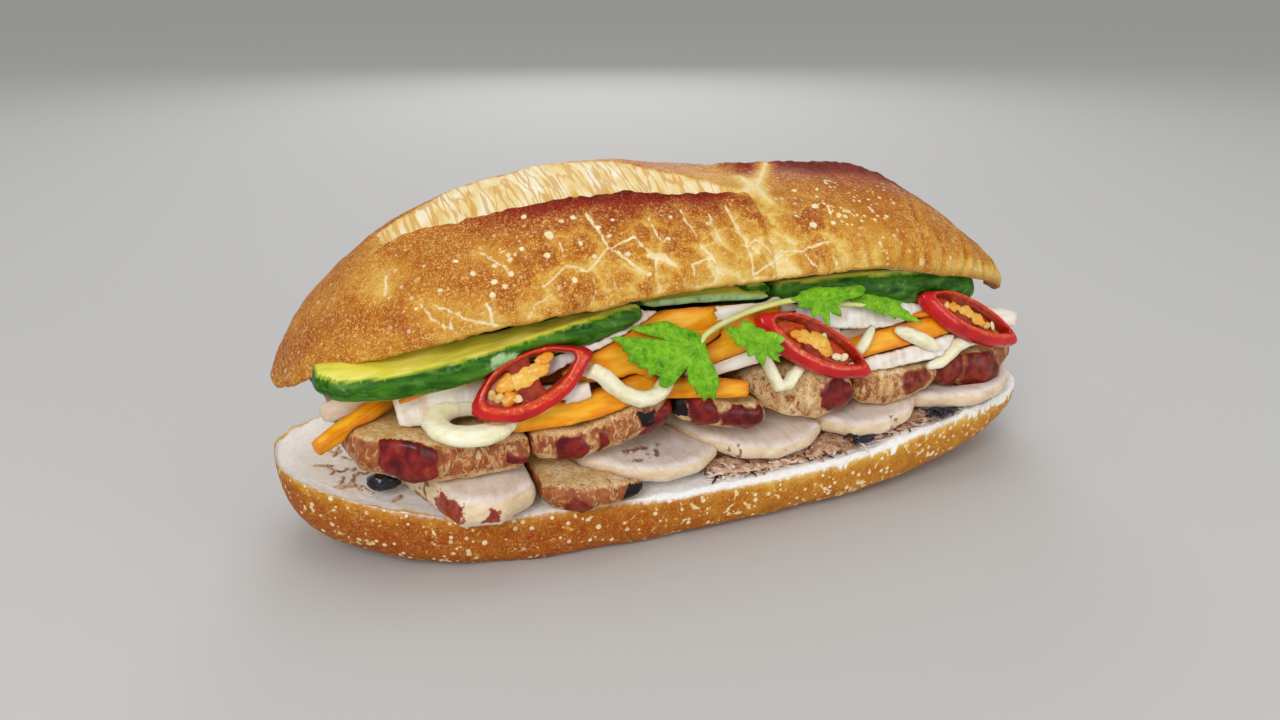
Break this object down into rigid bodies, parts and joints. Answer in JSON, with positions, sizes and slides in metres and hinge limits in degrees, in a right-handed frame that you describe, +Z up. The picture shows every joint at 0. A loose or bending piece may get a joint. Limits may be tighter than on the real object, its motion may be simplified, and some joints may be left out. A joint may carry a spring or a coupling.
{
  "type": "banh mi sandwich",
  "caption": "Long sandwich in a scored crusty roll split in two, filled with sliced pork, pickled strips, cucumber, chili rings, herbs and mayonnaise.",
  "frame": {"origin": "on the flat underside of the lower half of the roll, at its middle", "axes": "+X along the roll to the end with the lower crust edge, -Y towards the open front that shows the fillings, +Z up"},
  "size_m": [0.2206, 0.0819, 0.0914],
  "materials": {
    "bread": "baked crust with a pale crumb cut face, matte to satin",
    "roast_pork": "roasted, satin, glossy dark red on its glazed edges",
    "white_meat": "satin",
    "cucumber": "moist skin and pale flesh",
    "carrot": "moist, satin",
    "daikon": "moist, slightly translucent",
    "mayonnaise": "satin",
    "chili": "glossy",
    "herb": "satin",
    "pate": "coarse, moist",
    "dark_bit": "glossy"
  },
  "bodies": {
    "root": {"bun_lower": "bread", "bun_upper": "bread", "chili_left": "chili", "chili_middle": "chili", "chili_right": "chili", "leaf_large": "herb", "leaf_middle": "herb", "leaf_top": "herb", "leaf_long": "herb", "mayo_loop": "mayonnaise", "mayo_curl": "mayonnaise", "mayo_point": "mayonnaise", "mayo_drip": "mayonnaise", "mayo_stick": "mayonnaise", "mayo_right": "mayonnaise", "pork_1": "roast_pork", "pork_2": "roast_pork", "pork_3": "roast_pork", "pork_4": "roast_pork", "pork_5": "roast_pork", "pork_6": "roast_pork", "pork_7": "roast_pork", "slice_4": "white_meat", "slice_3": "white_meat", "slice_2": "white_meat", "slice_1": "white_meat", "pork_low_2": "roast_pork", "pork_low_1": "white_meat", "dark_bit_left": "dark_bit", "dark_bit_middle": "dark_bit", "dark_bit_right": "dark_bit", "cucumber_left": "cucumber", "cucumber_thin": "cucumber", "cucumber_right": "cucumber", "cucumber_dark": "cucumber", "cucumber_back_left": "cucumber", "cucumber_back_right": "cucumber", "carrot_left": "carrot", "carrot_low": "carrot", "carrot_wide": "carrot", "carrot_end": "carrot", "carrot_middle": "carrot", "carrot_right": "carrot", "carrot_top_right": "carrot", "daikon_left": "daikon", "daikon_up": "daikon", "daikon_end": "daikon", "daikon_top": "daikon", "daikon_middle": "daikon", "daikon_wide": "daikon", "daikon_low": "daikon", "daikon_right": "daikon", "carrot_back": "carrot", "daikon_back": "daikon", "pate": "pate", "pickle_pile": "carrot"}
  },
  "joints": []
}
